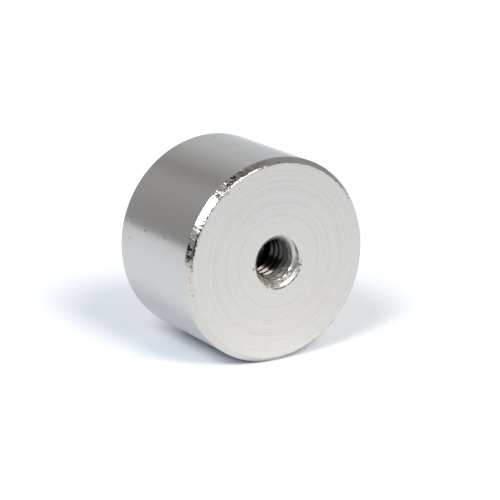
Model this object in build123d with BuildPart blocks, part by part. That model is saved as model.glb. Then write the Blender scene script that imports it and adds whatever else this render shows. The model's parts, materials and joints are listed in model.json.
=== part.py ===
"""Threaded pot magnet.

A steel pot, turned from bar and nickel plated, has a tapped blind hole in its thick base.
A disc magnet stands in the pot's mouth, held on centre by a brass ring that keeps the
steel rim apart from the pole of the magnet.

The pot stands on its magnet face. The origin is at the centre of that face, and +Z runs
along the axis of rotation and out of the tapped hole. All lengths are in millimetres.
"""

import os
from math import radians, tan

from build123d import *

# Steel pot
pot_diameter = 25.0
pot_height = 16.0
pot_wall = 2.5
seat_depth = 6.0
seat_corner_radius = 0.3
seat_mouth_chamfer = 0.15
rim_chamfer = 0.3
back_chamfer_width = 0.6  # across the back face
back_chamfer_height = 0.75  # down the side

# Tapped blind hole, drilled for an M6 thread
tap_drill_diameter = 5.0
drill_point_angle = 118.0
web_thickness = 1.5  # steel left between the drill's point and the magnet's seat
countersink_width = 0.8  # radial, all round the hole
countersink_angle = 90.0

# Brass ring and disc magnet
ring_wall = 1.4
ring_recess = 0.2  # below the pot's rim
ring_edge_chamfer = 0.2
glue_gap = 0.1  # radial, between the ring and the magnet
magnet_recess = 0.1  # below the pot's rim
magnet_edge_radius = 0.4

pot_radius = pot_diameter / 2
seat_radius = pot_radius - pot_wall
ring_bore_radius = seat_radius - ring_wall
magnet_radius = ring_bore_radius - glue_gap

tap_drill_radius = tap_drill_diameter / 2
drill_point_length = tap_drill_radius / tan(radians(drill_point_angle / 2))
drill_tip_height = seat_depth + web_thickness
countersink_radius = tap_drill_radius + countersink_width
countersink_depth = countersink_width / tan(radians(countersink_angle / 2))


# Steel pot: one turned section, then the tapped hole's drilling with its countersunk mouth
with BuildPart() as steel_pot:
    with BuildSketch(Plane.XZ):
        with BuildLine():
            Polyline(
                (0, seat_depth),
                (seat_radius, seat_depth),
                (seat_radius, 0),
                (pot_radius, 0),
                (pot_radius, pot_height),
                (0, pot_height),
                close=True,
            )
        make_face()
    revolve(axis=Axis.Z)

    circles = steel_pot.edges().filter_by(GeomType.CIRCLE)
    seat_mouth, seat_corner, rim, back_edge = (
        circles.filter_by_position(Axis.Z, height, height).sort_by(SortBy.RADIUS)[rank]
        for height, rank in ((0, 0), (seat_depth, 0), (0, -1), (pot_height, -1))
    )
    back_face = steel_pot.faces().sort_by(Axis.Z)[-1]
    chamfer(
        back_edge, length=back_chamfer_width, length2=back_chamfer_height, reference=back_face
    )
    chamfer(rim, length=rim_chamfer)
    chamfer(seat_mouth, length=seat_mouth_chamfer)
    fillet(seat_corner, radius=seat_corner_radius)

    with BuildSketch(Plane.XZ):
        with BuildLine():
            Polyline(
                (0, drill_tip_height),
                (tap_drill_radius, drill_tip_height + drill_point_length),
                (tap_drill_radius, pot_height - countersink_depth),
                (countersink_radius, pot_height),
                (0, pot_height),
                close=True,
            )
        make_face()
    revolve(axis=Axis.Z, mode=Mode.SUBTRACT)
steel_pot.part.label = "steel_pot"


# Brass ring: pressed into the seat, its far edge cut back to clear the seat's rounded corner
with BuildPart() as brass_ring:
    with BuildSketch(Plane.XY.offset(ring_recess)):
        Circle(seat_radius)
        Circle(ring_bore_radius, mode=Mode.SUBTRACT)
    extrude(amount=seat_depth - ring_recess)
    seated_face = brass_ring.faces().sort_by(Axis.Z)[-1]
    chamfer(seated_face.edges().sort_by(SortBy.RADIUS)[-1], length=seat_corner_radius)
    open_face = brass_ring.faces().sort_by(Axis.Z)[0]
    chamfer(open_face.edges(), length=ring_edge_chamfer)
brass_ring.part.label = "brass_ring"


# Disc magnet: sintered and plated, so both of its edges are rounded
with BuildPart() as disc_magnet:
    with BuildSketch(Plane.XY.offset(magnet_recess)):
        Circle(magnet_radius)
    extrude(amount=seat_depth - magnet_recess)
    fillet(disc_magnet.edges().filter_by(GeomType.CIRCLE), radius=magnet_edge_radius)
disc_magnet.part.label = "disc_magnet"


os.makedirs("parts", exist_ok=True)
for piece in (steel_pot, brass_ring, disc_magnet):
    export_step(piece.part, f"parts/{piece.part.label}.step")
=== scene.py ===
# %% [markdown]
# # A threaded pot magnet
#
# The object is a turned steel pot, 25 mm across, with a tapped hole in its thick back and a
# magnet set in its open front. Its exact solids come from the CAD model as a fixed frame.
# This notebook cuts a finer pot over them, the way a lathe and a tap would, and then gives
# each surface the finish that its tool left under the nickel plate.

# %% Load the frame
import json
from math import cos, pi, radians, sin, tan

import bmesh
import bpy
from mathutils import Matrix, Vector


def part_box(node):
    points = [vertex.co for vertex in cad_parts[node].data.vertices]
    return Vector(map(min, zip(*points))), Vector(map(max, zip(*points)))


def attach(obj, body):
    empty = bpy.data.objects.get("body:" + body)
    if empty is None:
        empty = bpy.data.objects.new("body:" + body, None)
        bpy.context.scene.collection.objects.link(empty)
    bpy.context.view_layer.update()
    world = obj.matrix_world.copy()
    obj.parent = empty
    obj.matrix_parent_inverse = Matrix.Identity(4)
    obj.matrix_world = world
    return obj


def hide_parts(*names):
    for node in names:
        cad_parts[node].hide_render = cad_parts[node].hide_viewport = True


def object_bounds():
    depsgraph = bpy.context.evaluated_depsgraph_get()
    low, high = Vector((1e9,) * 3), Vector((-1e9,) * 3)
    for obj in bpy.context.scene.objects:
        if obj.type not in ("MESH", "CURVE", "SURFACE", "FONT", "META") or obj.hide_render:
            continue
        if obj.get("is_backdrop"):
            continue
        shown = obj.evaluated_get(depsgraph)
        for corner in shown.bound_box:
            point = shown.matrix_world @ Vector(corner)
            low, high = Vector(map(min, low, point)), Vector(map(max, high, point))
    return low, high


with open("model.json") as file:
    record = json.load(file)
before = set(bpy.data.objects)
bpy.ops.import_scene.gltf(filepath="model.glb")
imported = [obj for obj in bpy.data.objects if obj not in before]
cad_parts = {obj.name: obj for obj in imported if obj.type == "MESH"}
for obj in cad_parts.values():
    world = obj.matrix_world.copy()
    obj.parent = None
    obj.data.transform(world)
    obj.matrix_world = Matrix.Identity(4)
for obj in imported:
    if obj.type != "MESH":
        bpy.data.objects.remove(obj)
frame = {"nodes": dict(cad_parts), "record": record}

cad_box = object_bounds()
print("CAD nodes:", ", ".join(sorted(frame["nodes"])))

# %% [markdown]
# ## Sizes
#
# Blender works in metres and a machinist in millimetres, so one small function converts.
# The pot's own sizes are read from the frame, so that the fine pot always fits the solids.

# %% Sizes from the frame


def mm(length):
    """A length in millimetres, as metres."""
    return length / 1000


pot_low, pot_high = (Vector(corner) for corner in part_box("steel_pot"))
pot_radius = (pot_high.x - pot_low.x) / 2
pot_height = pot_high.z
seat_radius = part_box("brass_ring")[1][0]
seat_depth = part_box("disc_magnet")[1][2]
thread_mount = next(m for m in frame["record"]["mounts"] if m["kind"] == "threaded_hole")
drill_radius = mm(thread_mount["dims"]["r_mm"])
print(f"pot: {pot_radius * 2000:.1f} mm across, {pot_height * 1000:.1f} mm high")
print(f"hole: {drill_radius * 2000:.1f} mm drill")

# %% [markdown]
# ## The bench
#
# The part's own frame stands it on its magnet face, with the tapped hole upwards. On the
# bench it lies on its side instead. The part mustn't move, so the bench is brought to it:
# the floor touches the pot's side, "up" from the bench is the part's -Y, and the camera
# is rolled to match. `on_bench` turns a place on the bench into the part's frame.

# %% The bench's directions
turned_away = radians(32.35)  # from the camera's bearing to the way that the hole points
bench_turn = Matrix.Rotation(pi / 2, 3, "X") @ Matrix.Rotation(pi - turned_away, 3, "Z")
back_centre = Vector((0, 0, pot_height))


def on_bench(right, ahead, up):
    """A direction on the bench as the camera's owner would say it, in the part's frame."""
    return bench_turn @ Vector((right, ahead, up))


def towards(bearing, height):
    """The direction to something at a bearing (degrees right of ahead) and height."""
    turn, lift = radians(bearing), radians(height)
    return on_bench(sin(turn) * cos(lift), cos(turn) * cos(lift), sin(lift))


print("up from the bench:", tuple(round(c, 3) for c in on_bench(0, 0, 1)))

# %% [markdown]
# ## The camera
#
# A long lens a good way off shows a small turned part with little distortion. The camera
# looks down on the bench at about 16 degrees. A camera looks along its own -Z, so its
# axes are the bench's right, the view's up, and the way back towards the camera.

# %% Camera
looking_down = radians(16.13)
camera_distance = 18.077 * pot_radius
aim_right = -0.2669 * pot_radius  # the aim is a little beside the middle of the back face
aim_up = 0.1092 * pot_radius
sensor_width, lens_length = 36, 137.44  # in millimetres, as Blender counts them

view_right = on_bench(1, 0, 0)
view_up = on_bench(0, sin(looking_down), cos(looking_down))
view_back = on_bench(0, -cos(looking_down), sin(looking_down))
aim = back_centre + view_right * aim_right + view_up * aim_up
camera_place = aim + view_back * camera_distance

camera = bpy.data.objects.new("camera", bpy.data.cameras.new("camera"))
bpy.context.scene.collection.objects.link(camera)
camera.matrix_world = Matrix.Translation(camera_place) @ Matrix(
    (view_right, view_up, view_back)
).transposed().to_4x4()
camera.data.sensor_width = sensor_width
camera.data.lens = lens_length
camera.data.clip_start = mm(5)
bpy.context.scene.camera = camera
bpy.context.scene.view_settings.view_transform = "Standard"
print("camera at", tuple(round(c * 1000) for c in camera_place), "mm")

# %% [markdown]
# ## Helpers for materials
#
# Blender's sockets take linear light, while colours are usually written as sRGB hex, so one
# function converts. Another adds a node, sets it up and links it in one call, which keeps
# each material short enough to read as a list of its layers.

# %% Colour and nodes


def linear(hex_colour):
    """An sRGB hex colour as the linear red, green, blue and alpha that a socket takes."""
    parts = [int(hex_colour[i : i + 2], 16) / 255 for i in (1, 3, 5)]
    return [c / 12.92 if c <= 0.04045 else ((c + 0.055) / 1.055) ** 2.4 for c in parts] + [1]


DIRT_AND_SHADE = linear("#544A42")  # the dark painted into pits, ring grooves, marks and lines: partly dirt, partly painted shade


def add(tree, kind, inputs=None, **settings):
    """Adds a node: settings are its properties, inputs are values or outputs to link.

    A node among the inputs stands for its first output.
    """
    made = tree.nodes.new("ShaderNode" + kind)
    for name, value in settings.items():
        setattr(made, name, value)
    for name, value in (inputs or {}).items():
        if isinstance(value, bpy.types.Node):
            value = value.outputs[0]
        if isinstance(value, bpy.types.NodeSocket):
            tree.links.new(value, made.inputs[name])
        else:
            made.inputs[name].default_value = value
    return made


def new_material(name):
    """An empty node material with its output node."""
    material = bpy.data.materials.new(name)
    material.use_nodes = True
    material.node_tree.nodes.clear()
    return material, material.node_tree, add(material.node_tree, "OutputMaterial")


print("nickel in linear light:", [round(c, 3) for c in linear("#D6D2CB")])

# %% [markdown]
# ## The room
#
# Bright metal shows hardly any colour of its own: what the eye reads as nickel is the room
# in it. The world shader paints that room by bearing and height: a pale backdrop ahead,
# duller walls at the sides, a bright reflector on the right and a dim ceiling that is
# darkest over the camera. The camera itself sees plain white.

# %% Walls of the room
world = bpy.data.worlds.new("studio")
bpy.context.scene.world = world
world.use_nodes = True
sky = world.node_tree
sky.nodes.clear()

direction = add(sky, "TexCoord").outputs["Generated"]
ahead, right, up = (
    add(sky, "VectorMath", {0: direction, 1: way}, operation="DOT_PRODUCT").outputs["Value"]
    for way in (on_bench(0, 1, 0), on_bench(1, 0, 0), on_bench(0, 0, 1))
)
bearing = add(sky, "Math", {0: right, 1: ahead}, operation="ARCTAN2")
round_the_room = add(sky, "MapRange", {"Value": bearing, "From Min": -pi, "From Max": pi})

walls = add(sky, "ValToRGB", {"Fac": round_the_room})
WALLS = [  # bearing in degrees, and the colour that shows there
    (-180, "#38393B"),
    (-163, "#404143"),
    (-148, "#747679"),
    (-75, "#979797"),
    (-50, "#BDBCBC"),
    (-35, "#A3A2A1"),
    (-28, "#B9B8B5"),
    (-8, "#D5D7D8"),
    (4, "#DBE0E6"),
    (25, "#B7B8B8"),
    (45, "#9C9C9B"),
    (72, "#BFC2C4"),
    (98, "#F0F0EE"),
    (122, "#C6C8C9"),
    (148, "#8A8D90"),
    (163, "#505153"),
    (180, "#38393B"),
]
ramp = walls.color_ramp
ramp.interpolation = "EASE"
while len(ramp.elements) < len(WALLS):
    ramp.elements.new(1.0)
for stop, (degrees, colour) in zip(ramp.elements, WALLS):
    stop.position = (degrees + 180) / 360
    stop.color = linear(colour)
print("walls:", len(WALLS), "colours")

# %% Ceiling and backdrop
CEILING_STARTS, CEILING_FULL = 34, 62  # degrees up from the bench
overhead = add(
    sky,
    "MapRange",
    {
        "Value": up,
        "From Min": sin(radians(CEILING_STARTS)),
        "From Max": sin(radians(CEILING_FULL)),
    },
    interpolation_type="SMOOTHSTEP",
)
from_camera_side = add(sky, "MapRange", {"Value": ahead, "From Min": -0.1, "From Max": -0.5})
ceiling = add(
    sky,
    "Mix",
    {
        "Factor": from_camera_side,
        "A": linear("#9B9998"),
        "B": linear("#565555"),
    },
    data_type="RGBA",
)
room = add(
    sky,
    "Mix",
    {
        "Factor": overhead,
        "A": walls.outputs["Color"],
        "B": ceiling.outputs["Result"],
    },
    data_type="RGBA",
)
seen_by_camera = add(sky, "LightPath").outputs["Is Camera Ray"]
shown = add(
    sky,
    "Mix",
    {"Factor": seen_by_camera, "A": room.outputs["Result"], "B": (1, 1, 1, 1)},
    data_type="RGBA",
)
background = add(sky, "Background", {"Color": shown.outputs["Result"], "Strength": 1.0})
add(sky, "OutputWorld", {"Surface": background})
print("world:", len(sky.nodes), "nodes")

# %% [markdown]
# ## The lamps
#
# Two big soft lights stand in front of the bench, one at each side, and each draws a soft
# shadow behind the part. The left one is the stronger. A sun lamp with a wide angle is the
# simplest soft light: its shadows have soft edges, and bright metal mirrors it as a disc.

# %% Lamps
SOFT_LIGHTS = {  # bearing, height and angle across in degrees, power and colour
    "left_softbox": (-151, 43, 25, 1.98, "#FAFDFF"),
    "right_softbox": (143, 41, 25, 1.91, "#FFFBF2"),
}
for name, (bearing_degrees, height, across, power, tint) in SOFT_LIGHTS.items():
    lamp = bpy.data.objects.new(name, bpy.data.lights.new(name, "SUN"))
    bpy.context.scene.collection.objects.link(lamp)
    lamp.data.angle = radians(across)
    lamp.data.energy = power
    lamp.data.color = linear(tint)[:3]
    towards_lamp = towards(bearing_degrees, height)
    lamp.rotation_euler = towards_lamp.to_track_quat("Z", "Y").to_euler()
    lamp.location = back_centre + towards_lamp * mm(500)
print("lamps:", ", ".join(SOFT_LIGHTS))

# %% [markdown]
# ## The floor
#
# A sheet of faintly blue-white paper. It shows its front only: seen from behind it is
# clear, so that a camera on the far side still sees the part. Light Path lifts the lit
# paper to white for the camera and in the metal, and the shadows stay.

# %% Floor
floor_reach = mm(1500)
bpy.ops.mesh.primitive_plane_add(size=2 * floor_reach)
floor = bpy.context.object
floor.name = "floor"
floor.data.transform(
    Matrix.Translation(on_bench(0, 0, -1) * pot_radius)
    @ on_bench(0, 0, 1).to_track_quat("Z", "Y").to_matrix().to_4x4()
)
paper, tree, output = new_material("white_paper")
path = add(tree, "LightPath")
looked_at = add(
    tree,
    "Math",
    {0: path.outputs["Is Camera Ray"], 1: path.outputs["Is Transmission Ray"]},
    operation="MAXIMUM",
)
PAPER_WHITE = Vector(linear("#F1F5FC")[:3])
PAPER_NEAR = Vector(linear("#EFF4FC")[:3])
PAPER_FAR = Vector(linear("#F2F5FB")[:3])
LIFT_SEEN, LIFT_NEAR, LIFT_FAR = 1.1, 1.06, 0.94  # what each paper colour is multiplied by
from_pot = add(tree, "VectorMath", {0: add(tree, "TexCoord").outputs["Object"]}, operation="LENGTH")
pool_of_light = add(
    tree, "MapRange", {"Value": from_pot.outputs["Value"], "From Min": mm(15), "From Max": mm(110)}
)
mirrored = add(
    tree,
    "Mix",
    {
        "Factor": pool_of_light,
        "A": (*PAPER_NEAR * LIFT_NEAR, 1),
        "B": (*PAPER_FAR * LIFT_FAR, 1),
    },
    data_type="RGBA",
)
tone = add(
    tree,
    "Mix",
    {
        "Factor": path.outputs["Is Glossy Ray"],
        "A": (*PAPER_WHITE, 1),
        "B": mirrored.outputs["Result"],
    },
    data_type="RGBA",
)
paper_colour = add(
    tree,
    "Mix",
    {
        "Factor": looked_at,
        "A": tone.outputs["Result"],
        "B": (*PAPER_WHITE * LIFT_SEEN, 1),
    },
    data_type="RGBA",
)
print("paper:", [round(c, 3) for c in PAPER_WHITE])

# %% The paper's front and back
lit = add(tree, "BsdfDiffuse", {"Color": paper_colour.outputs["Result"]})
clear = add(tree, "BsdfTransparent")
behind = add(tree, "NewGeometry").outputs["Backfacing"]
one_sided = add(tree, "MixShader", {0: behind, 1: lit, 2: clear})
tree.links.new(one_sided.outputs[0], output.inputs["Surface"])
floor.data.materials.append(paper)
floor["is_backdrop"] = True
print("floor touches the pot's side at y =", round(pot_radius * 1000, 2), "mm")

# %% [markdown]
# ## The ground side
#
# The pot's side is ground true and then plated, so it is the smoothest surface here. Nickel
# is a grey, slightly warm metal. Its plate isn't quite flat: it swells a few thousandths of
# a millimetre over each millimetre, which makes the mirrored horizon tremble. Handling has
# left four small pits, which are too fine to model: a bump with a floor painted dark draws each.

# %% Places on the side


def on_side(clock, height):
    """A place on the side: degrees clockwise from the top as it lies, seen from the back."""
    angle = radians(clock)
    return Vector((-sin(angle) * pot_radius, -cos(angle) * pot_radius, height))


PITS = [  # where, how far it reaches and how deep and dark it is
    (on_side(-75, mm(5.6)), mm(0.3), 0.62),
    (on_side(-83, mm(2.2)), mm(0.27), 0.55),
    (on_side(-1, mm(2.1)), mm(0.4), 0.5),
    (on_side(-1.5, mm(7.4)), mm(0.4), 0.42),
]


def spots_at(tree, place, spots):
    """A value that is 0 but for the spots. Each has a centre, a reach and a strength."""
    value = 0.0
    for centre, reach, strength in spots:
        away = add(tree, "VectorMath", {0: place, 1: centre}, operation="DISTANCE")
        spot = add(
            tree,
            "MapRange",
            {
                "Value": away.outputs["Value"],
                "From Max": reach,
                "To Min": strength,
                "To Max": 0.0,
            },
            interpolation_type="SMOOTHSTEP",
        )
        value = add(tree, "Math", {0: value, 1: spot}, operation="MAXIMUM")
    return value


print("pits on the side:", len(PITS))

# %% Ground side
NICKEL = linear("#C7C6C4")
grain_share = 0.22  # how high the grain stands against the swell
plate_waves = mm(0.016)
ground_side, tree, output = new_material("ground_nickel_side")
place = add(tree, "TexCoord").outputs["Object"]
swell = add(tree, "TexNoise", {"Vector": place, "Scale": 1 / mm(1.1), "Detail": 2.0})
grain = add(tree, "TexNoise", {"Vector": place, "Scale": 1 / mm(0.28), "Detail": 2.0})
height = add(tree, "Math", {0: grain, 1: grain_share, 2: swell}, operation="MULTIPLY_ADD")
pits = spots_at(tree, place, PITS)
pitted = add(tree, "Math", {0: height, 1: pits}, operation="SUBTRACT")
bump = add(tree, "Bump", {"Height": pitted, "Distance": plate_waves, "Strength": 1.0})
colour = add(tree, "Mix", {"Factor": pits, "A": NICKEL, "B": DIRT_AND_SHADE}, data_type="RGBA")
haze = add(tree, "TexNoise", {"Vector": place, "Scale": 1 / mm(4), "Detail": 3.0})
gloss = add(tree, "MapRange", {"Value": haze, "To Min": 0.15, "To Max": 0.27})
nickel = add(
    tree,
    "BsdfPrincipled",
    {
        "Base Color": colour.outputs["Result"],
        "Metallic": 1.0,
        "Roughness": gloss,
        "Normal": bump,
    },
)
tree.links.new(nickel.outputs[0], output.inputs["Surface"])
print("ground side:", len(tree.nodes), "nodes")

# %% [markdown]
# ## The faced back
#
# Facing on the lathe leaves fine rings round the axis, and the plate follows them. Each
# ring is a change of height along the radius only, so the noise is one-dimensional and
# reads the distance from the axis. Real rings fade in and out, so a second, larger noise
# hides part of them. Where the tool paused it left one deeper ring nearly half way out. The
# ring grooves are painted a little darker too, and two dark lines are painted shade, where
# burrs shade the face beside the mouth and beside the edge.

# %% Faced back


def on_back(clock, out):
    """A place on the back face: degrees clockwise from the top, and how far from the axis."""
    angle = radians(clock)
    return Vector((-sin(angle) * out, -cos(angle) * out, pot_height))


MARKS = [  # where, how far it reaches and how dark it is
    (on_back(-97, mm(3.47)), mm(0.26), 0.75),
    (on_back(-37, pot_radius - mm(0.9)), mm(0.45), 0.35),
    (on_back(118, mm(3.4)), mm(0.24), 0.8),
    (on_back(106, mm(3.4)), mm(0.26), 0.8),
    (on_back(97.5, mm(3.4)), mm(0.22), 0.6),
    (on_back(139.5, pot_radius - mm(0.65)), mm(0.3), 0.3),
]
print("marks on the back:", len(MARKS))

# %% Rings on the faced back
run_out = mm(0.06)  # the lathe's axis misses the middle of the bar by this
faced_back, tree, output = new_material("faced_nickel_back")
place = add(tree, "TexCoord").outputs["Object"]
from_lathe = add(
    tree, "Mapping", {"Vector": place, "Location": (run_out, 0, 0), "Scale": (1, 1, 0)}
)
outwards = add(tree, "VectorMath", {0: from_lathe}, operation="LENGTH").outputs["Value"]

fine_rings = add(
    tree,
    "TexNoise",
    {"W": outwards, "Scale": 1 / mm(0.3), "Detail": 3.0, "Roughness": 0.6},
    noise_dimensions="1D",
)
ring_sets = add(
    tree, "TexNoise", {"W": outwards, "Scale": 1 / mm(0.17), "Detail": 1.0}, noise_dimensions="1D"
)
scored = add(
    tree,
    "MapRange",
    {"Value": ring_sets, "From Min": 0.54, "From Max": 0.68},
    interpolation_type="SMOOTHSTEP",
)
print("rings:", len(tree.nodes), "nodes so far")

# %% Where the rings show
ring_by_ring = add(tree, "Math", {0: outwards, 1: 1 / mm(0.9)}, operation="MULTIPLY")
patches = add(
    tree,
    "TexNoise",
    {"Vector": place, "W": ring_by_ring, "Scale": 1 / mm(4), "Detail": 2.0},
    noise_dimensions="4D",
)
unbroken = add(
    tree,
    "MapRange",
    {"Value": patches, "From Min": 0.46, "From Max": 0.66},
    interpolation_type="SMOOTHSTEP",
)
outer = add(
    tree, "MapRange", {"Value": outwards, "From Min": mm(5.8), "From Max": mm(7.5), "To Min": 0.1}
)
shown_outside = add(tree, "Math", {0: unbroken, 1: outer}, operation="MULTIPLY")
broken = add(tree, "Math", {0: scored, 1: shown_outside}, operation="MULTIPLY")
print("rings broken up:", len(tree.nodes), "nodes so far")

# %% The tool's pause
pause_radius, pause_half_width = mm(5.65), mm(0.08)
ring_depth = mm(0.02)
groove_depth = 0.25  # as a share of the fine rings' height
from_pause = add(
    tree, "Math", {0: outwards, 1: pause_radius, 2: pause_half_width}, operation="COMPARE"
)
pause_shown = add(tree, "MapRange", {"Value": patches, "From Min": 0.3, "To Max": 0.8})
pause = add(tree, "Math", {0: from_pause, 1: pause_shown}, operation="MULTIPLY")
grooves = add(tree, "Math", {0: broken, 1: pause}, operation="MAXIMUM")
height = add(tree, "Math", {0: grooves, 1: -groove_depth, 2: fine_rings}, operation="MULTIPLY_ADD")
bump = add(tree, "Bump", {"Height": height, "Distance": ring_depth, "Strength": 1.0})
print("pause at", round(pause_radius * 1000, 2), "mm from the axis")

# %% Dirt and painted shade on the faced back
specks = add(tree, "TexNoise", {"Vector": place, "Scale": 1 / mm(0.3), "Detail": 3.0})
line_fade = 8  # degrees over which a line of dirt fades at its ends
groove_darkening = 0.4  # how much darker the ring grooves are painted
SHADE_LINES = [  # painted burr shadows: inner and outer radius, the side it is on, and how many degrees it reaches
    (mm(3.28), mm(3.46), on_back(160, 1.0), 52),
    (pot_radius - mm(0.7), pot_radius - mm(0.5), on_back(-45, 1.0), 42),
]
dirt_and_shade = 0.0
# Each line is painted shade, the shadow of a burr on the face, broken into dashes by the specks
# below.
for inner, outer_end, middle, reach in SHADE_LINES:
    from_middle = (inner + outer_end) / 2
    band = add(
        tree,
        "Math",
        {0: outwards, 1: from_middle, 2: (outer_end - inner) / 2},
        operation="COMPARE",
    )
    on_this_end = Vector((middle.x, middle.y, 1))  # the 1 keeps the line off the other end
    cosine = add(tree, "VectorMath", {0: place, 1: on_this_end}, operation="DOT_PRODUCT")
    this_side = add(
        tree,
        "MapRange",
        {
            "Value": cosine.outputs["Value"],
            "From Min": pot_height + from_middle * cos(radians(reach + line_fade)),
            "From Max": pot_height + from_middle * cos(radians(reach - line_fade)),
        },
    )
    line = add(tree, "Math", {0: band, 1: this_side}, operation="MULTIPLY")
    dirt_and_shade = add(tree, "Math", {0: dirt_and_shade, 1: line}, operation="MAXIMUM")
gathered = add(tree, "MapRange", {"Value": specks, "From Min": 0.4, "From Max": 0.56})
dirt_and_shade = add(tree, "Math", {0: dirt_and_shade, 1: gathered}, operation="MULTIPLY")
marks = spots_at(tree, place, MARKS)
dirt_and_shade = add(tree, "Math", {0: dirt_and_shade, 1: marks}, operation="MAXIMUM")
stain_and_shade = add(tree, "Math", {0: grooves, 1: groove_darkening, 2: dirt_and_shade}, operation="MULTIPLY_ADD")
mottle = add(tree, "MapRange", {"Value": specks, "To Max": 0.13})
stain_and_shade = add(tree, "Math", {0: stain_and_shade, 1: mottle}, operation="ADD", use_clamp=True)
print("lines of dirt:", len(SHADE_LINES))

# %% Colour of the faced back
# Painted reflection: the face is painted a little lighter and warmer towards its lower side as it
# lies, for the warmer paper that it mirrors there.
warmer_lower_side = add(
    tree,
    "MapRange",
    {
        "Value": add(tree, "SeparateXYZ", {0: place}).outputs["Y"],
        "From Min": mm(-8),
        "From Max": mm(11),
    },
)
clean = add(
    tree, "Mix", {"Factor": warmer_lower_side, "A": linear("#DAD7D3"), "B": linear("#DED9D2")}, data_type="RGBA"
)
colour = add(
    tree, "Mix", {"Factor": stain_and_shade, "A": clean.outputs["Result"], "B": DIRT_AND_SHADE}, data_type="RGBA"
)
cloud = add(tree, "TexNoise", {"Vector": place, "Scale": 1 / mm(6), "Detail": 4.0})
satin = add(tree, "MapRange", {"Value": cloud, "To Min": 0.24, "To Max": 0.36})
nickel = add(
    tree,
    "BsdfPrincipled",
    {
        "Base Color": colour.outputs["Result"],
        "Metallic": 1.0,
        "Roughness": satin,
        "Normal": bump,
    },
)
tree.links.new(nickel.outputs[0], output.inputs["Surface"])
print("faced back:", len(tree.nodes), "nodes")

# %% [markdown]
# ## The torn edge
#
# The broken edge was never made smooth, and plate lies thin over torn metal. It is the
# roughest of the nickel surfaces: grains that sparkle, with dull brownish dips between.
# The worst places are listed, and a noise pushes their outlines about, so that none
# looks like a disc. The same list later tells the modelling where to roughen the metal.
# Near the back face the edge also carries painted dark flecks and a painted dark line, which stand
# for the dark of the room that its pits and burrs mirror.

# %% Torn edge


def on_edge(clock):
    """A place on the middle of the broken back edge, by degrees clockwise from the top."""
    angle = radians(clock)
    out, down = pot_radius - mm(0.3), mm(0.37)
    return Vector((-sin(angle) * out, -cos(angle) * out, pot_height - down))


TORN_PLACES = [  # where, how far it reaches and how badly the metal is torn there
    (on_edge(-79), mm(1.2), 1.3),
    (on_edge(-74.5), mm(1.2), 1.2),
    (on_edge(-68), mm(1.8), 0.55),
    (on_edge(-42), mm(1.3), 1.1),
    (on_edge(-38), mm(1.2), 1.0),
    (on_edge(-33), mm(1.2), 1.4),
    (on_edge(-29), mm(1.2), 1.3),
    (on_edge(-22), mm(1.8), 0.9),
    (on_edge(-13), mm(2.4), 0.5),
]
push = mm(1.0)  # how far the noise moves the outlines of the torn places
torn_edge, tree, output = new_material("torn_nickel_edge")
place = add(tree, "TexCoord").outputs["Object"]
ragged = add(tree, "TexNoise", {"Vector": place, "Scale": 1 / mm(0.5), "Detail": 3.0})
pushed = add(
    tree,
    "VectorMath",
    {0: ragged.outputs["Color"], 1: (push,) * 3, 2: place},
    operation="MULTIPLY_ADD",
)
pushed = add(
    tree, "VectorMath", {0: pushed.outputs["Vector"], 1: (push / 2,) * 3}, operation="SUBTRACT"
)
torn = spots_at(tree, pushed.outputs["Vector"], TORN_PLACES)
tears = add(tree, "TexNoise", {"Vector": place, "Scale": 1 / mm(0.25), "Detail": 3.0})
strength = add(tree, "MapRange", {"Value": torn, "To Min": 0.12, "To Max": 1.0})
bump = add(tree, "Bump", {"Height": tears, "Distance": mm(0.04), "Strength": strength})
dips = add(tree, "MapRange", {"Value": tears, "From Min": 0.62, "From Max": 0.45, "To Min": 0.2})
bare = add(tree, "Math", {0: torn, 1: dips}, operation="MULTIPLY")
print("torn places:", len(TORN_PLACES))

# %% Painted dark flecks on the torn edge
along = add(tree, "SeparateXYZ", {0: place}).outputs["Z"]
by_the_back = add(
    tree,
    "MapRange",
    {"Value": along, "From Min": pot_height - mm(0.3), "From Max": pot_height - mm(0.1)},
)
FLECKED_PLACES = [  # where, how far it reaches and how dark its flecks are
    (on_edge(-92), mm(4), 1.0),
    (on_edge(-45), mm(8), 0.3),
    (on_edge(-10), mm(2), 0.9),
    (on_edge(10), mm(6), 0.5),
]
by_the_tear = spots_at(tree, place, FLECKED_PLACES)
# Painted reflection: the dark flecks near the back face stand for the dark of the room that tiny
# pits in the edge mirror.
flecked = add(tree, "TexNoise", {"Vector": place, "Scale": 1 / mm(0.42), "Detail": 2.0})
painted_dark_flecks = add(tree, "MapRange", {"Value": flecked, "From Min": 0.55, "From Max": 0.63})
painted_dark_flecks = add(tree, "Math", {0: painted_dark_flecks, 1: by_the_back}, operation="MULTIPLY")
painted_dark_flecks = add(tree, "Math", {0: painted_dark_flecks, 1: by_the_tear}, operation="MULTIPLY")
print("flecked places:", len(FLECKED_PLACES))

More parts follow.
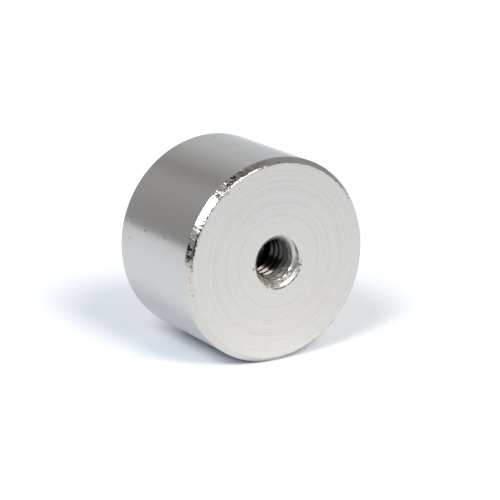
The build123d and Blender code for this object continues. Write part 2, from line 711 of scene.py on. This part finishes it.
# %% Colour of the torn edge
# A dark line is painted along the top of the edge beside the dent: it stands for the dark that a
# burr along the rim mirrors there.
painted_dark_line = add(
    tree,
    "MapRange",
    {"Value": along, "From Min": pot_height - mm(0.2), "From Max": pot_height - mm(0.05)},
)
by_the_dent = spots_at(tree, pushed.outputs["Vector"], [(on_edge(-71), mm(4.0), 1.4)])
painted_dark_line = add(tree, "Math", {0: painted_dark_line, 1: by_the_dent}, operation="MULTIPLY")
brown = add(tree, "Math", {0: bare, 1: painted_dark_flecks}, operation="MAXIMUM")
brown = add(tree, "Math", {0: brown, 1: painted_dark_line}, operation="MAXIMUM", use_clamp=True)
colour = add(
    tree, "Mix", {"Factor": brown, "A": linear("#D0CCC6"), "B": linear("#332B26")}, data_type="RGBA"
)
rough = add(tree, "MapRange", {"Value": torn, "To Min": 0.24, "To Max": 0.3})
nickel = add(
    tree,
    "BsdfPrincipled",
    {
        "Base Color": colour.outputs["Result"],
        "Metallic": 1.0,
        "Roughness": rough,
        "Normal": bump,
    },
)
tree.links.new(nickel.outputs[0], output.inputs["Surface"])
print("torn edge:", len(tree.nodes), "nodes")

# %% [markdown]
# ## The countersink
#
# The countersink's cone is bright, because plate reaches it easily, but the tool chattered
# as it cut: the cone has small flats side by side all round. One side of it is painted darker
# and browner in mottled patches, a painted reflection of the duller room that it mirrors
# there, and at one place the lip is gouged. Two ramps across the hole keep the patches to
# their side.

# %% Countersink's finish
bright_flare, tree, output = new_material("bright_nickel_countersink")
place = add(tree, "TexCoord").outputs["Object"]
drawn_out = add(tree, "Mapping", {"Vector": place, "Scale": (1, 1, 0.25)})
chatter = add(tree, "TexNoise", {"Vector": drawn_out, "Scale": 1 / mm(0.4), "Detail": 2.0})
bump = add(tree, "Bump", {"Height": chatter, "Distance": mm(0.02), "Strength": 1.0})
blotch_noise = add(tree, "TexNoise", {"Vector": place, "Scale": 1 / mm(0.5), "Detail": 4.0})
position = add(tree, "SeparateXYZ", {0: place})
shaded_half = add(
    tree,
    "MapRange",
    {"Value": position.outputs["Y"], "From Min": mm(0.5), "From Max": mm(2.5), "To Min": 0.25},
)
shaded_side = add(
    tree,
    "MapRange",
    {"Value": position.outputs["X"], "From Min": mm(-0.5), "From Max": mm(1.0), "To Min": 0.1},
)
painted_side_shade = add(tree, "MapRange", {"Value": blotch_noise, "From Min": 0.38, "From Max": 0.62})
for limit in (shaded_half, shaded_side):
    painted_side_shade = add(tree, "Math", {0: painted_side_shade, 1: limit}, operation="MULTIPLY")
# Painted reflection: on one side the mottled patches are painted darker and browner.
colour = add(
    tree,
    "Mix",
    {"Factor": painted_side_shade, "A": linear("#D3D0CB"), "B": linear("#94897D")},
    data_type="RGBA",
)
gouged = spots_at(tree, place, [(on_back(106, mm(3.22)), mm(0.36), 0.9)])
colour = add(
    tree, "Mix", {"Factor": gouged, "A": colour.outputs["Result"], "B": DIRT_AND_SHADE}, data_type="RGBA"
)
satin = add(tree, "MapRange", {"Value": blotch_noise, "To Min": 0.26, "To Max": 0.44})
nickel = add(
    tree,
    "BsdfPrincipled",
    {
        "Base Color": colour.outputs["Result"],
        "Metallic": 1.0,
        "Roughness": satin,
        "Normal": bump,
    },
)
tree.links.new(nickel.outputs[0], output.inputs["Surface"])
print("countersink:", len(tree.nodes), "nodes")

# %% [markdown]
# ## The thread
#
# Plating current crowds at the mouth of a blind hole and hardly reaches its end. So the
# first turns carry heaped, dull nickel; below them the plate is thin and smooth, and the
# crests glint; and the end of the hole is dark steel. Oil and dirt lie in the grooves. The
# colour is also painted darker with depth and towards the groove roots, as painted shade
# deep in the hole and in the grooves. The finish therefore follows the depth below the back
# face and the distance from the axis.
# The heaped nickel lies in streaks along the turns, so its noise reads a place that is
# unrolled round the axis and squeezed in that direction, which draws its lumps out.

# %% Plate and painted depth shade in the thread
plate_and_shade_reach = mm(7)  # how deep the change of colour goes, for the plate and the painted shade
plated_thread, tree, output = new_material("thinly_plated_thread")
place = add(tree, "TexCoord").outputs["Object"]
position = add(tree, "SeparateXYZ", {0: place})
depth = add(tree, "Math", {0: pot_height, 1: position.outputs["Z"]}, operation="SUBTRACT")
heaped = add(
    tree,
    "MapRange",
    {"Value": depth, "From Min": mm(2.9), "From Max": mm(3.3), "To Min": 1.0, "To Max": 0.0},
    interpolation_type="SMOOTHSTEP",
)
# Painted shade: the end of the hole is also painted dark for the light that hardly reaches it, as
# well as being unplated.
unplated_and_unlit = add(
    tree,
    "MapRange",
    {"Value": depth, "From Min": mm(5.8), "From Max": mm(6.8)},
    interpolation_type="SMOOTHSTEP",
)
down = add(tree, "Math", {0: depth, 1: 1 / plate_and_shade_reach}, operation="MULTIPLY")
plate_and_depth_shade = add(tree, "ValToRGB", {"Fac": down})
ramp = plate_and_depth_shade.color_ramp
ramp.elements[0].color = linear("#BEBBB7")
ramp.elements[1].color = linear("#424140")
PLATE_AND_DEPTH_SHADE = {0.9: "#B4B1AD", 1.5: "#8A8682", 3.0: "#5C5B5A", 3.6: "#434242"}  # by depth in mm
for depth_reached, shade in PLATE_AND_DEPTH_SHADE.items():
    ramp.elements.new(mm(depth_reached) / plate_and_shade_reach).color = linear(shade)
print("plate ends", round(plate_and_shade_reach * 1000, 1), "mm down")

# %% Dirt and painted groove shade in the thread
thread_root = mm(3.05)  # the radius at the bottom of the groove
flat = add(tree, "VectorMath", {0: place, 1: (1, 1, 0)}, operation="MULTIPLY")
outwards = add(tree, "VectorMath", {0: flat}, operation="LENGTH").outputs["Value"]
# Towards the groove root the thread is painted darker: oil and dirt, and painted shade in the
# groove.
in_the_groove = add(
    tree,
    "MapRange",
    {"Value": outwards, "From Min": thread_root - mm(0.45), "From Max": thread_root - mm(0.06)},
)
swept = add(tree, "MapRange", {"Value": heaped, "To Min": 0.7, "To Max": 0.5})
dirt_and_shade = add(tree, "Math", {0: in_the_groove, 1: swept}, operation="MULTIPLY")
turned = add(
    tree, "Math", {0: position.outputs["Y"], 1: position.outputs["X"]}, operation="ARCTAN2"
)
squeeze = 0.3  # the way round counts this much, so the lumps stretch along the turns
unrolled = add(tree, "Math", {0: turned, 1: drill_radius * squeeze}, operation="MULTIPLY")
streaky = add(tree, "CombineXYZ", {"X": unrolled, "Y": depth, "Z": outwards})
lumps = add(tree, "TexNoise", {"Vector": streaky, "Scale": 1 / mm(0.2), "Detail": 3.0})
patchy = add(tree, "MapRange", {"Value": lumps, "From Min": 0.46, "From Max": 0.6, "To Max": 0.9})
patchy = add(tree, "Math", {0: patchy, 1: heaped}, operation="MULTIPLY")
for layer in (patchy, unplated_and_unlit):
    dirt_and_shade = add(tree, "Math", {0: dirt_and_shade, 1: layer}, operation="MAXIMUM")
print("dirt in the thread:", len(tree.nodes), "nodes so far")

# %% Thread's finish
colour = add(
    tree,
    "Mix",
    {"Factor": dirt_and_shade, "A": plate_and_depth_shade.outputs["Color"], "B": linear("#55504B")},
    data_type="RGBA",
)
lumpy = add(tree, "MapRange", {"Value": heaped, "To Min": 0.1, "To Max": 1.0})
bump = add(tree, "Bump", {"Height": lumps, "Distance": mm(0.16), "Strength": lumpy})
dull = add(tree, "MapRange", {"Value": heaped, "To Min": 0.18, "To Max": 0.3})
dulled = add(
    tree,
    "MapRange",
    {"Value": depth, "From Min": mm(0.8), "From Max": mm(1.4), "To Min": 0.2, "To Max": 0.95},
)
dulled = add(tree, "Math", {0: dulled, 1: heaped}, operation="MULTIPLY")
matt = add(tree, "Math", {0: dulled, 1: dirt_and_shade}, operation="MAXIMUM")
shine = add(tree, "MapRange", {"Value": matt, "To Min": 1.0, "To Max": 0.25})
steel = add(
    tree,
    "BsdfPrincipled",
    {
        "Base Color": colour.outputs["Result"],
        "Metallic": shine,
        "Roughness": dull,
        "Normal": bump,
    },
)
tree.links.new(steel.outputs[0], output.inputs["Surface"])
print("thread:", len(tree.nodes), "nodes")

# %% [markdown]
# ## Modelling helpers
#
# The pot is cut as in the workshop: a blank, then one cutter after another. In Blender a
# cutter is a closed shape, and the Boolean modifier takes it away. Each cutter carries the
# finish that it leaves, and the modifier hands that on to the faces it cuts. Faces and
# edges are picked in code by where they are, which is what clicking on them does by hand.

# %% Start a piece and pick its parts


def start_piece(name, *finishes):
    """Names the new primitive, gives it its finishes and moves its place into its mesh."""
    piece = bpy.context.object
    piece.name = name
    for finish in finishes:
        piece.data.materials.append(finish)
    bpy.ops.object.transform_apply(location=True, rotation=True, scale=True)
    return piece


def pick(piece, kind, wanted):
    """In edit mode, selects only the corners, edges or faces whose middle passes a test."""
    bpy.ops.mesh.select_mode(type=kind)
    bpy.ops.mesh.select_all(action="DESELECT")
    shape = bmesh.from_edit_mesh(piece.data)
    if kind == "VERT":
        found = [corner for corner in shape.verts if wanted(corner.co)]
    elif kind == "EDGE":
        found = [edge for edge in shape.edges if wanted((edge.verts[0].co + edge.verts[1].co) / 2)]
    else:
        found = [face for face in shape.faces if wanted(face.calc_center_median())]
    for item in found:
        item.select_set(True)
    shape.select_flush_mode()
    bmesh.update_edit_mesh(piece.data)
    return len(found)


def from_axis(place):
    """How far a place is from the pot's axis."""
    return place.xy.length


def near(value, target):
    """Whether two lengths agree to a hundredth of a millimetre."""
    return abs(value - target) < mm(0.01)


print("5 um apart is near:", near(mm(1), mm(1.005)))

# %% Slice, apply and cut


def slice_rows(bottom, top, step):
    """Cuts level rows round the open mesh, so that a later modifier has corners to move."""
    height = bottom
    while height < top:
        bpy.ops.mesh.select_all(action="SELECT")
        bpy.ops.mesh.bisect(plane_co=(0, 0, height), plane_no=(0, 0, 1))
        height += step


def use_modifier(piece, kind, **settings):
    """Adds a modifier, sets it up and applies it."""
    modifier = piece.modifiers.new(kind.lower(), kind)
    for name, value in settings.items():
        setattr(modifier, name, value)
    bpy.context.view_layer.objects.active = piece
    bpy.ops.object.modifier_apply(modifier=modifier.name)


def cut(piece, cutter, operation="DIFFERENCE"):
    """Takes the cutter away, or keeps what is inside it. The cut gets the cutter's finish."""
    use_modifier(
        piece,
        "BOOLEAN",
        object=cutter,
        operation=operation,
        solver="EXACT",
        material_mode="TRANSFER",
    )
    bpy.data.objects.remove(cutter)
    print(f"{piece.name}: {len(piece.data.polygons)} faces after the cut")


print("meshes before the pot:", len(bpy.data.meshes))

# %% [markdown]
# ## The turned blank
#
# A bar is cut to length and its front is bored for the ring and the magnet. Bevels break
# the front's two edges. In the metal these are turned, so they are true and even.

# %% Turned blank
POT_SIDES = 360
rim_break = mm(0.3)
mouth_break = mm(0.15)

bpy.ops.object.select_all(action="DESELECT")
bpy.ops.mesh.primitive_cylinder_add(
    vertices=POT_SIDES, radius=pot_radius, depth=pot_height, location=(0, 0, pot_height / 2)
)
pot = start_piece("nickel_plated_pot", ground_side, faced_back)
for face in pot.data.polygons:
    face.material_index = 1 if abs(face.normal.z) > 0.9 else 0
bpy.ops.object.mode_set(mode="EDIT")
pick(pot, "FACE", lambda place: near(place.z, 0))
bpy.ops.mesh.inset(thickness=pot_radius - seat_radius)
bpy.ops.mesh.extrude_region_move(TRANSFORM_OT_translate={"value": (0, 0, seat_depth)})
pick(pot, "EDGE", lambda place: near(place.z, 0) and near(from_axis(place), pot_radius))
bpy.ops.mesh.bevel(offset=rim_break, segments=2, affect="EDGES")
pick(pot, "EDGE", lambda place: near(place.z, 0) and near(from_axis(place), seat_radius))
bpy.ops.mesh.bevel(offset=mouth_break, segments=1, affect="EDGES")
bpy.ops.object.mode_set(mode="OBJECT")
print("blank:", len(pot.data.polygons), "faces")

# %% [markdown]
# ## The broken back edge
#
# The back edge was broken by a coarse tool before plating, and it is ragged. A smooth
# bevel can't show that. So the pot is kept inside a tall cone instead, and the cone's
# skin is roughened first: where it meets the flat back and the round side, both edges
# come out uneven by themselves. A second, flatter cone stands off centre, so it takes a
# thin lip off one side only, as a tool does that runs out of true.

# %% Broken back edge
EDGE_SIDES = 1080  # one corner every 0.07 mm, finer than the raggedness
edge_across = mm(0.6)
edge_down = mm(0.75)
lip_width = mm(0.665)
lip_slope = 1 / tan(radians(33))
off_centre = mm(0.65)
lip_side = on_edge(-24).xy.normalized()
cone_over = mm(0.3)  # the cone goes past the back face by this
rough_below = mm(1.1)  # and its rows start this far under it
row_step = mm(0.08)
below_top = mm(0.05)  # they end this far under the cone's top


def make_cone(name, radius, slope, centre):
    """A tall cone to keep the pot in. Its radius is measured at the pot's back face."""
    low, high = -mm(1), pot_height + cone_over
    bpy.ops.object.select_all(action="DESELECT")
    bpy.ops.mesh.primitive_cone_add(
        vertices=EDGE_SIDES,
        radius1=radius + (pot_height - low) * slope,
        radius2=radius + (pot_height - high) * slope,
        depth=high - low,
        location=(centre.x, centre.y, (low + high) / 2),
        rotation=(0, 0, pi / EDGE_SIDES),
    )
    cone = start_piece(name, torn_edge)
    bpy.ops.object.mode_set(mode="EDIT")
    slice_rows(pot_height - rough_below, high - below_top, row_step)
    bpy.ops.object.mode_set(mode="OBJECT")
    print(name, len(cone.data.polygons), "faces")
    return cone


edge_cone = make_cone(
    "edge_cone", pot_radius - edge_across, edge_across / edge_down, Vector((0, 0))
)
lip_cone = make_cone(
    "lip_cone", pot_radius - lip_width + off_centre, lip_slope, -lip_side * off_centre
)

# %% Roughen the cones


def roughen(piece, zone, size, depth):
    """Moves the corners of a zone in and out by a noise of that size and depth."""
    grain = bpy.data.textures.new(f"grain_{piece.name}_{size:.5f}", "CLOUDS")
    grain.noise_scale = size
    use_modifier(
        piece,
        "DISPLACE",
        texture=grain,
        texture_coords="LOCAL",
        direction="NORMAL",
        vertex_group=zone,
        strength=depth,
        mid_level=0.5,
    )


def how_torn(place):
    """1 in the middle of a torn place, falling to 0 at its reach."""
    return max(
        min(1.0, strength) * max(0.0, 1 - (place.xy - centre.xy).length / reach)
        for centre, reach, strength in TORN_PLACES
    )


rim_reach = mm(0.17)  # how far from the back face the roughest part reaches
slack = mm(0.01)
lowest, highest = pot_height - rough_below - slack, pot_height + cone_over - slack
for cone in (edge_cone, lip_cone):
    whole_edge = cone.vertex_groups.new(name="whole_edge")
    torn_bits = cone.vertex_groups.new(name="torn_bits")
    rim = cone.vertex_groups.new(name="rim")
    for corner in cone.data.vertices:
        if lowest < corner.co.z < highest:
            whole_edge.add([corner.index], 1.0, "REPLACE")
            torn_bits.add([corner.index], how_torn(corner.co), "REPLACE")
            by_the_rim = max(0.0, 1 - abs(corner.co.z - pot_height) / rim_reach)
            rim.add([corner.index], by_the_rim, "REPLACE")

roughen(edge_cone, "whole_edge", size=mm(2.5), depth=mm(0.08))
roughen(edge_cone, "whole_edge", size=mm(0.6), depth=mm(0.05))
roughen(edge_cone, "torn_bits", size=mm(0.3), depth=mm(0.05))
roughen(edge_cone, "rim", size=mm(0.35), depth=mm(0.24))
roughen(lip_cone, "whole_edge", size=mm(0.9), depth=mm(0.03))
cut(pot, edge_cone, "INTERSECT")
cut(pot, lip_cone, "INTERSECT")

# %% [markdown]
# ## Drill and countersink
#
# A drill leaves a plain hole with a pointed end, and a countersink opens its mouth. The
# countersink chattered and tore the metal a little, so its cone is roughened as well.

# %% Drill
HOLE_SIDES = 360
DRILL_ANGLE = 118  # degrees, a drill's usual point
web = mm(1.5)  # the steel left between the drill's point and the magnet's seat
drill_point = drill_radius / tan(radians(DRILL_ANGLE / 2))
drill_shoulder = seat_depth + web + drill_point
countersink_width = mm(0.8)
countersink_start = pot_height - countersink_width

bpy.ops.object.select_all(action="DESELECT")
bpy.ops.mesh.primitive_cylinder_add(
    vertices=HOLE_SIDES,
    radius=drill_radius,
    depth=countersink_start - drill_shoulder,
    location=(0, 0, (countersink_start + drill_shoulder) / 2),
)
drill = start_piece("drill", plated_thread, bright_flare)
bpy.ops.object.mode_set(mode="EDIT")
pick(drill, "FACE", lambda place: near(place.z, drill_shoulder))
bpy.ops.mesh.extrude_region_move(TRANSFORM_OT_translate={"value": (0, 0, -drill_point)})
bpy.ops.mesh.merge(type="CENTER")
bpy.ops.object.mode_set(mode="OBJECT")
print("drill:", round(drill_radius * 2000, 2), "mm across")

# %% Countersink
FLARE_ROWS = 12
flare_low, flare_high = radians(57), radians(37)  # how the wall's normal leans, low and high
flare_radius = countersink_width / (sin(flare_low) - sin(flare_high))

bpy.ops.object.mode_set(mode="EDIT")
pick(drill, "FACE", lambda place: near(place.z, countersink_start))
radius, height = drill_radius, countersink_start
for row in range(1, FLARE_ROWS + 4):  # the last rows stand out of the back face
    lean = flare_low + (flare_high - flare_low) * row / FLARE_ROWS
    new_radius = drill_radius + flare_radius * (sin(flare_low) - sin(lean))
    new_height = countersink_start + flare_radius * (cos(lean) - cos(flare_low))
    climb = new_height - height
    bpy.ops.mesh.extrude_region_move(TRANSFORM_OT_translate={"value": (0, 0, climb)})
    widened = new_radius / radius
    bpy.ops.transform.resize(value=(widened, widened, 1))
    radius, height = new_radius, new_height
bpy.ops.object.mode_set(mode="OBJECT")
print("countersink:", round(radius * 2000, 2), "mm across above the back face")

# %% Torn mouth
worst_side = Vector((-0.4, 0.92))  # the mouth is torn most in this direction
torn_reach = mm(0.25)
torn_mouth = drill.vertex_groups.new(name="torn_mouth")
for corner in drill.data.vertices:
    from_back = abs(corner.co.z - pot_height) / torn_reach
    if from_back < 1 and from_axis(corner.co) > drill_radius:
        worst = 0.5 + 0.5 * corner.co.xy.normalized() @ worst_side
        torn_mouth.add([corner.index], (1 - from_back) * (0.15 + 0.85 * worst**2), "REPLACE")
roughen(drill, "torn_mouth", size=mm(0.3), depth=mm(0.09))
for face in drill.data.polygons:
    face.material_index = 1 if face.center.z > countersink_start and face.normal.z < 0.99 else 0
cut(pot, drill)

# %% [markdown]
# ## The thread
#
# An M6 tap cuts a 60 degree groove that climbs 1 mm a turn. Its section is drawn beside
# the axis, a Screw modifier sweeps it into a long tooth, and the tooth is then cut out of
# the hole, through the countersink as well. The tooth flares at its foot, which leaves
# the crests of the finished thread rounded, as plating does.

# %% Tap
TURN_STEPS = 120
tap_stops = mm(1.25)  # a tap can't reach the drill's shoulder
tooth_bottom = drill_shoulder + tap_stops
TOOTH_ROWS = [  # radius, and half the tooth's width there
    (drill_radius - mm(0.2), mm(0.49)),
    (drill_radius, mm(0.45)),
    (drill_radius + mm(0.06), mm(0.35)),
    (thread_root - mm(0.03), mm(0.085)),
    (thread_root, mm(0.05)),
]
first_radius, first_half = TOOTH_ROWS[0]
second_radius = TOOTH_ROWS[1][0]

bpy.ops.object.select_all(action="DESELECT")
bpy.ops.mesh.primitive_plane_add(
    size=1,
    location=((first_radius + second_radius) / 2, 0, tooth_bottom),
    rotation=(pi / 2, 0, 0),
)
bpy.context.object.scale = (second_radius - first_radius, 2 * first_half, 1)
tooth = start_piece("tooth", plated_thread)
bpy.ops.object.mode_set(mode="EDIT")
width = 2 * first_half
for row, (radius, half) in enumerate(TOOTH_ROWS[1:]):
    previous = TOOTH_ROWS[row][0] if row else radius
    pick(tooth, "EDGE", lambda place: near(place.x, previous))
    if row:
        step = (radius - previous, 0, 0)
        bpy.ops.mesh.extrude_region_move(TRANSFORM_OT_translate={"value": step})
    bpy.ops.transform.resize(
        value=(1, 1, 2 * half / width), center_override=(radius, 0, tooth_bottom)
    )
    width = 2 * half
bpy.ops.mesh.select_all(action="SELECT")
bpy.ops.mesh.delete(type="ONLY_FACE")


def across_the_tooth(place):
    """Whether an edge's middle lies on one of the rows inside the tooth's section."""
    rows = [radius for radius, half in TOOTH_ROWS[1:-1]]
    return near(place.z, tooth_bottom) and any(near(place.x, row) for row in rows)


pick(tooth, "EDGE", across_the_tooth)
bpy.ops.mesh.delete(type="EDGE")
bpy.ops.object.mode_set(mode="OBJECT")
print("section:", len(tooth.data.edges), "edges")

# %% Sweep the tooth and cut
pitch = mm(1.0)
tooth_over = mm(0.6)  # the tooth climbs at least this far over the back face
turns = int((pot_height + tooth_over - tooth_bottom) / pitch) + 1
use_modifier(
    tooth,
    "SCREW",
    axis="Z",
    angle=2 * pi,
    screw_offset=pitch,
    iterations=turns,
    steps=TURN_STEPS,
    render_steps=TURN_STEPS,
    use_merge_vertices=False,
)
bpy.ops.object.mode_set(mode="EDIT")
bpy.ops.mesh.select_all(action="SELECT")
bpy.ops.mesh.fill_holes(sides=0)
bpy.ops.mesh.select_all(action="SELECT")
bpy.ops.mesh.normals_make_consistent(inside=False)
bpy.ops.object.mode_set(mode="OBJECT")
print("tooth:", turns, "turns,", len(tooth.data.polygons), "faces")
cut(pot, tooth)

# %% [markdown]
# ## Shading the pot
#
# Corners that the cuts left almost on top of each other are joined first. Then borders
# between finishes are marked sharp, so that each surface is shaded by itself, and so are
# the thread's edges, because its flanks are flat across and only then mirror as flats.
# Weighted normals then keep the big plain faces exactly plain, so that the side mirrors
# the horizon as a straight line.

# %% Finish the pot
hair = mm(0.001)  # the cuts leave corners closer together than this
THREAD_EDGE, SMOOTH_UP_TO = 25, 35  # degrees between faces
bpy.ops.object.select_all(action="DESELECT")
pot.select_set(True)
bpy.context.view_layer.objects.active = pot
bpy.ops.object.mode_set(mode="EDIT")
bpy.ops.mesh.select_all(action="SELECT")
bpy.ops.mesh.remove_doubles(threshold=hair)
bpy.ops.mesh.dissolve_degenerate(threshold=hair)
bpy.ops.object.mode_set(mode="OBJECT")

in_thread = pot.data.materials.find(plated_thread.name)
shape = bmesh.new()
shape.from_mesh(pot.data)
for edge in shape.edges:
    finishes = {face.material_index for face in edge.link_faces}
    edge.smooth = len(finishes) == 1
    if finishes == {in_thread} and edge.calc_face_angle(0) > radians(THREAD_EDGE):
        edge.smooth = False
shape.to_mesh(pot.data)
shape.free()

bpy.ops.object.shade_smooth_by_angle(angle=radians(SMOOTH_UP_TO), keep_sharp_edges=True)
use_modifier(pot, "WEIGHTED_NORMAL", mode="FACE_AREA", weight=80, keep_sharp=True)
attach(pot, "root")
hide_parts("steel_pot")
print("pot:", sum(len(face.vertices) - 2 for face in pot.data.polygons), "triangles")
print("finishes:", ", ".join(finish.name for finish in pot.data.materials))

# %% [markdown]
# ## The brass ring
#
# The ring is parted off a brass bar and turned, then pressed into the pot's front. It holds
# the magnet in the middle, and brass doesn't carry its field across to the steel.

# %% Turned brass
turned_brass, tree, output = new_material("turned_brass")
place = add(tree, "TexCoord").outputs["Object"]
flat = add(tree, "VectorMath", {0: place, 1: (1, 1, 0)}, operation="MULTIPLY")
outwards = add(tree, "VectorMath", {0: flat}, operation="LENGTH").outputs["Value"]
rings = add(
    tree, "TexNoise", {"W": outwards, "Scale": 1 / mm(0.12), "Detail": 2.0}, noise_dimensions="1D"
)
bump = add(tree, "Bump", {"Height": rings, "Distance": mm(0.004), "Strength": 1.0})
tarnish = add(tree, "TexNoise", {"Vector": place, "Scale": 1 / mm(2.2), "Detail": 4.0})
colour = add(
    tree,
    "Mix",
    {"Factor": tarnish, "A": linear("#E3C27C"), "B": linear("#C39A54")},
    data_type="RGBA",
)
satin = add(tree, "MapRange", {"Value": tarnish, "To Min": 0.22, "To Max": 0.4})
brass = add(
    tree,
    "BsdfPrincipled",
    {
        "Base Color": colour.outputs["Result"],
        "Metallic": 1.0,
        "Roughness": satin,
        "Normal": bump,
    },
)
tree.links.new(brass.outputs[0], output.inputs["Surface"])
ring = bpy.data.objects["brass_ring"]
ring.data.materials.clear()
ring.data.materials.append(turned_brass)
print("ring:", len(ring.data.polygons), "faces")

# %% [markdown]
# ## The magnet
#
# A magnet is pressed from powder, sintered, tumbled and then plated. It is never turned, so
# it has no rings: its plate is bright, with the fine even grain of the sintered block.

# %% Plated magnet
plated_magnet, tree, output = new_material("nickel_plated_sintered_magnet")
place = add(tree, "TexCoord").outputs["Object"]
grain = add(tree, "TexNoise", {"Vector": place, "Scale": 1 / mm(0.2), "Detail": 3.0})
bump = add(tree, "Bump", {"Height": grain, "Distance": mm(0.006), "Strength": 1.0})
rubbed = add(tree, "TexNoise", {"Vector": place, "Scale": 1 / mm(5), "Detail": 4.0})
gloss = add(tree, "MapRange", {"Value": rubbed, "To Min": 0.12, "To Max": 0.26})
nickel = add(
    tree,
    "BsdfPrincipled",
    {
        "Base Color": linear("#CFCDC7"),
        "Metallic": 1.0,
        "Roughness": gloss,
        "Normal": bump,
    },
)
tree.links.new(nickel.outputs[0], output.inputs["Surface"])
magnet = bpy.data.objects["disc_magnet"]
magnet.data.materials.clear()
magnet.data.materials.append(plated_magnet)
print("magnet:", len(magnet.data.polygons), "faces")

# %% [markdown]
# ## The boxes
#
# The fine pot has to stay inside the box of the CAD model, so both boxes are printed.

# %% Sizes and finish
sizes = {"cad_box": cad_box, "visual_box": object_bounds()}
for name, box in sizes.items():
    print(name, [[round(c * 1000, 2) for c in corner] for corner in box])
